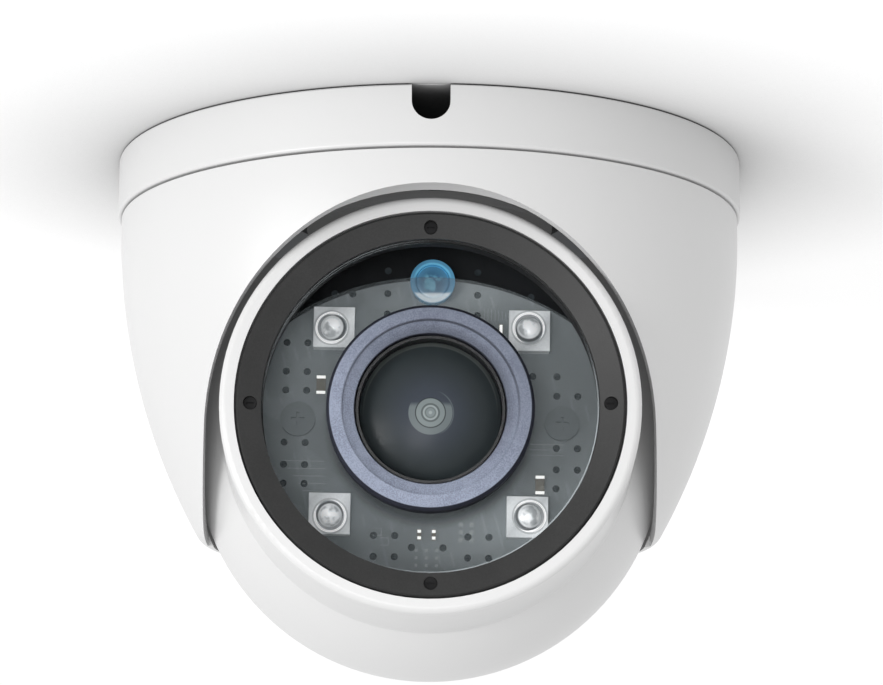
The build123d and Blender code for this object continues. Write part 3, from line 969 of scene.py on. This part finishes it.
@dataclass
class CameraModule(Assembly):
    """The lamp board, lens and main board, turned a little in the eyeball."""

    centre: Vector
    turn: float
    board: float = -24.0
    arc_radius: float = 42.0 * MM
    shield_edge: float = 0.55 * MM
    dome_radius: float = 2.35 * MM
    shield_step: float = 14.3 * MM
    shield_bore: float = 12.3 * MM
    via_radius: float = 0.6
    via_height: float = 0.06
    track_height: float = 0.03
    mark_height: float = 0.04
    chip_height: float = 0.7
    chip_half: tuple[float, float] = (0.75, 1.3)
    chips: tuple[Point, ...] = ((-18.3, 6.2), (18.4, -10.0))
    low_chip_height: float = 0.5
    low_chip_half: float = 0.8
    low_chip: Point = (11.6, 16.2)
    low_chips: tuple[Point, ...] = ((-1.45, -18.6), (0.95, -18.6))
    via_blocks: tuple[tuple[tuple[float, ...], tuple[float, ...]], ...] = (
        ((-24.2, -20.7), (13.4, 8.5, 5.3, -3.5, -7.2, -10.4)),
        ((21.1, 24.6), (5.1, -3.7, -7.3)),
        ((-7.5, 7.6), (26.0, 22.1, 18.6)),
        ((-9.0, -5.5, 6.6, 10.1), (-18.8, -22.3)),
        ((-2.7, 2.5), (-20.7,)),
        ((-16.4, -13.4, 16.6), (21.9,)),
        ((17.0, 21.1), (8.4,)),
        ((21.1,), (-10.5,)),
    )

    def bench(self, name: str) -> Bench:
        """Starts a piece set out about the optical axis."""
        return Bench(name, self.centre, self.turn)

    def dress_all(self) -> None:
        """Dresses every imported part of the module."""
        shield_low, shield_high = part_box("light_shield")
        lens_z = self.centre.z
        black = GrainedPlastic("module_black", paint(12, 13, 14), paint(18, 19, 20), 0.3, 0.6, 0.01, 0.15)
        self.dress(black, "module_frame", "lens_holder", "filter_coil")
        barrel = GrainedPlastic("barrel_black", paint(18, 19, 21), paint(26, 27, 30), 0.2, 0.35)
        self.dress(barrel, "lens_barrel")
        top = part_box("board_cover")[1].z
        arc_centre = (self.centre.x, top - self.arc_radius)
        self.dress(SolderMask(arc_centre, self.arc_radius, lens_z), "led_board", "main_board")
        low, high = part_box("led_domes")
        radius = self.dome_radius
        places = LampPlaces((high.x - low.x) / 2 - radius, low.z + radius, high.z - radius)
        self.dress(LampSilver(places), "led_bases")
        self.dress(LampDome(places, radius), "led_domes")
        low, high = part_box("photosensor_sleeve")
        middle = (low + high) / 2
        sensor = BlueSensor((middle.x, middle.z), (high.x - low.x) / 2)
        self.dress(sensor, "photosensor", "photosensor_sleeve")
        chips = GrainedPlastic("chip_body", paint(122, 118, 106), paint(140, 135, 122), 0.3, 0.45)
        self.dress(chips, "board_components")
        grey, pale = paint(130, 137, 140), paint(142, 149, 152)
        heads = GrainedPlastic("board_screw_dark", grey, pale, 0.2, 0.5, 0.004, 0.1)
        self.dress(heads, "board_screws")
        self.dress(SmokedCover(), "board_cover")
        rim = (shield_high.x - shield_low.x) / 2 - self.shield_edge
        self.dress(FoamShield(lens_z, rim, self.shield_step, self.shield_bore), "light_shield")
        glass_low, glass_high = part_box("front_lens")
        self.dress(CoatedLens(lens_z, (glass_high.x - glass_low.x) / 2), "front_lens", "rear_lens")
        self.dress(BrushedMetal("post_steel", STEEL, DULL_STEEL), "board_posts")
        cast = BrushedMetal("cast_spreader", paint(176, 178, 180), paint(150, 152, 155), 0.5, 0.6, 0.02)
        self.dress(cast, "heat_spreader")
        pad = GrainedPlastic("pad_blue", paint(120, 134, 160), paint(138, 150, 174), 0.5, 0.7)
        self.dress(pad, "thermal_pad")
        socket = GrainedPlastic("socket_cream", paint(214, 208, 190), paint(226, 222, 208))
        self.dress(socket, "ribbon_sockets")
        film = GrainedPlastic("ribbon_film", paint(214, 214, 208), paint(232, 232, 228), 1.0)
        self.dress(film, "led_ribbon")
        self.dress(SatinPaint("sensor_lid", paint(30, 24, 40), roughness=0.12), "image_sensor")

    def build_vias(self) -> None:
        """Builds the plated holes of the lamp board."""
        bench = self.bench("board_vias")
        rim, hole = self.via_radius, self.via_radius * 0.45
        top = self.board - self.via_height
        outline = [(rim, self.board), (rim * 0.92, top), (hole, top), (0, self.board - 0.01)]
        for columns, rows in self.via_blocks:
            for x in columns:
                for z in rows:
                    bench.turned(x, z, outline, 20)
        metal = BrushedMetal("via_metal", paint(58, 64, 67), paint(40, 45, 48), 0.55)
        bench.piece(self.body, metal, "board_green")

    def build_tracks(self) -> None:
        """Builds the copper tracks that stand a little proud of the solder mask."""
        bench = self.bench("board_tracks")
        board, low, high = self.board, self.track_height, self.mark_height
        for i in range(6):
            z = -6.6 - 1.25 * i
            bench.bar((-24.5 + 0.9 * i, z), (-17.5 + 0.3 * (i % 2), z), 0.14, board, low)
        for i in range(7):
            x = 8.8 + 0.6 * i
            bench.bar((x, 17.8), (x, 19.9 - 0.1 * i), 0.12, board, low)
        for i in range(3):
            z = -3.1 - 0.9 * i
            bench.bar((16.8, z), (22.4, z), 0.16 - 0.03 * i, board, low)
        for row in range(3):
            for x in (-1.9, -0.2, 1.5):
                bench.bar((x, -20.9 - 1.25 * row), (x, -21.4 - 1.25 * row), 0.5, board, high)
            for x in (5.4, 7.2):
                bench.bar((x, -16.4 - 1.3 * row), (x, -17.1 - 1.3 * row), 0.7, board, high)
        half_x, half_z = 0.7, 0.6
        for x, z in ((-8.4, -18.2), (-7.2, -19.8)):
            bench.bar((x - half_x, z + half_z), (x + half_x, z + half_z), 0.14, board, low)
            bench.bar((x - half_x, z - half_z), (x + half_x, z - half_z), 0.14, board, low)
            bench.bar((x + half_x, z - half_z), (x + half_x, z + half_z), 0.14, board, low)
        slate, pale = paint(172, 180, 182), paint(186, 193, 195)
        lane = GrainedPlastic("track_mask", slate, pale, 0.4, 0.4, 0.003, 0.1)
        bench.piece(self.body, lane, "board_green")

    def build_pads(self) -> None:
        """Builds the tinned ends of the chips and the rows of unmasked pads, whose tin glows strongly as
        painted highlight.
        """
        bench = self.bench("solder_pads")
        top = self.board - self.chip_height
        half_x, half_z = self.chip_half
        for x, z in self.chips:
            for end in (-half_z, half_z):
                bench.bar((x - half_x, z + end), (x + half_x, z + end), 0.5, top, 0.06)
        top = self.board - self.low_chip_height
        x, z = self.low_chip
        half = self.low_chip_half
        bench.bar((x, z - half), (x, z + half), 0.5, top, 0.05)
        for x, z in self.low_chips:
            bench.bar((x, z - half), (x, z - half + 0.5), 0.6, top, 0.05)
            bench.bar((x, z + half - 0.5), (x, z + half), 0.6, top, 0.05)
        # The tin glows strongly, as a painted highlight.
        tin = SatinPaint("tinned_end", paint(250, 250, 248), roughness=0.3, painted_glow=0.85)
        bench.piece(self.body, tin, "ceramic_chip")


@dataclass
class FilterSlide(Assembly):
    """The slide that swaps the infrared-cut filter for clear glass."""

    def dress_all(self) -> None:
        """Dresses every part of the slide."""
        self.dress(GrainedPlastic("slide_black", INK, SOOT, 0.3, 0.45), "filter_slide")
        self.dress(ClearGlass("ir_cut_coating", paint(150, 210, 220), 0.35), "ir_cut_filter")
        self.dress(ClearGlass("clear_pane", paint(232, 238, 240), 0.2), "clear_filter")


# ---- studio -----------------------------------------------------------------------------


@dataclass
class Viewpoint:
    """Where the eyeball camera is seen from: below and in front, looking up."""

    target: Vector = field(default_factory=lambda: Vector((2.132, 0.0, -31.098)) * MM)
    distance: float = 490.0 * MM
    elevation: float = 11.186
    turn: float = 0.522
    lens: float = 113.246
    sensor: float = 36.0
    nearest: float = 0.01
    farthest: float = 50.0

    def make(self) -> None:
        """Makes the scene's camera."""
        rise, swing = math.radians(self.elevation), math.radians(self.turn)
        ahead = Vector((math.sin(swing) * math.cos(rise), math.cos(swing) * math.cos(rise), math.sin(rise)))
        data = bpy.data.cameras.new("viewpoint")
        data.lens, data.sensor_width = self.lens, self.sensor
        data.clip_start, data.clip_end = self.nearest, self.farthest
        made = bpy.data.objects.new("viewpoint", data)
        made.location = self.target - ahead * self.distance
        made.rotation_euler = ahead.to_track_quat("-Z", "Y").to_euler()
        bpy.context.scene.collection.objects.link(made)
        bpy.context.scene.camera = made


@dataclass
class SoftBox:
    """A large soft lamp aimed at the camera being shown."""

    name: str
    place: tuple[float, float, float]
    size: float
    power: float
    aim: tuple[float, float, float] = (0.0, 0.0, -45 * MM)

    def make(self) -> None:
        """Makes the lamp."""
        data = bpy.data.lights.new(self.name, "AREA")
        data.shape, data.size, data.energy = "DISK", self.size, self.power
        made = bpy.data.objects.new(self.name, data)
        made.location = self.place
        ahead = Vector(self.aim) - made.location
        made.rotation_euler = ahead.to_track_quat("-Z", "Y").to_euler()
        bpy.context.scene.collection.objects.link(made)


@dataclass
class Studio:
    """White ceiling, even white surroundings and soft lamps.

    The ceiling is open over the base, so that the base's top is lit, but for a strip over the cable notch.
    """

    ceiling_radius: float = 6.0
    opening_radius: float = 54 * MM
    strip: tuple[float, float, float] = (5 * MM, -53.9 * MM, -20 * MM)
    flats: int = 96
    gap: float = 0.2 * MM
    surround: float = 1.02
    boxes: tuple[SoftBox, ...] = (
        SoftBox("key_left", (-1.25, -1.15, -0.24), 1.0, 25.0),
        SoftBox("front", (-0.2, -1.5, -0.3), 0.5, 5.5),
    )

    def make(self) -> None:
        """Makes the ceiling, the surroundings and the lamps."""
        bpy.context.scene.view_settings.view_transform = "Standard"
        self.make_ceiling()
        world = bpy.data.worlds.new("surround")
        world.use_nodes = True
        background = world.node_tree.nodes["Background"]
        background.inputs["Color"].default_value = (1.0, 1.0, 1.0, 1.0)
        background.inputs["Strength"].default_value = self.surround
        bpy.context.scene.world = world
        for box in self.boxes:
            box.make()

    def make_ceiling(self) -> None:
        """Makes the ceiling, whose faces look down."""
        plate = bmesh.new()
        rings = []
        for radius in (self.opening_radius, self.ceiling_radius):
            angles = (math.tau * i / self.flats for i in range(self.flats))
            spots = ((radius * math.cos(a), radius * math.sin(a), 0.0) for a in angles)
            rings.append([plate.verts.new(spot) for spot in spots])
        for i in range(self.flats):
            after = (i + 1) % self.flats
            plate.faces.new((rings[0][i], rings[0][after], rings[1][after], rings[1][i]))
        half, front, back = self.strip
        corners = ((-half, front), (-half, back), (half, back), (half, front))
        plate.faces.new([plate.verts.new((x, y, 0.0)) for x, y in corners])
        data = bpy.data.meshes.new("ceiling")
        plate.to_mesh(data)
        plate.free()
        data.materials.append(CeilingPaint().make())
        ceiling = bpy.data.objects.new("ceiling", data)
        ceiling.location.z = self.gap
        bpy.context.scene.collection.objects.link(ceiling)


def main() -> None:
    """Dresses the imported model, adds its fine detail and sets up the studio."""
    logging.basicConfig(level=logging.INFO, format="%(name)s: %(message)s")
    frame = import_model()
    nodes = frame["nodes"]
    Viewpoint().make()
    tilt = next(joint for joint in frame["joints"] if joint["name"] == "tilt")
    slide = next(joint for joint in frame["joints"] if joint["name"] == "filter_shift")
    turn = math.degrees(math.atan2(slide["axis"][2], -slide["axis"][0]))
    Base(nodes, Body.BASE).dress_all()
    Swivel(nodes, Body.SWIVEL).dress_all()
    Eyeball(nodes, Body.EYEBALL).dress_all()
    module = CameraModule(nodes, Body.MODULE, Vector(tilt["pos_m"]), turn)
    module.dress_all()
    module.build_vias()
    module.build_tracks()
    module.build_pads()
    FilterSlide(nodes, Body.FILTER).dress_all()
    Studio().make()


if __name__ == "__main__":
    main()
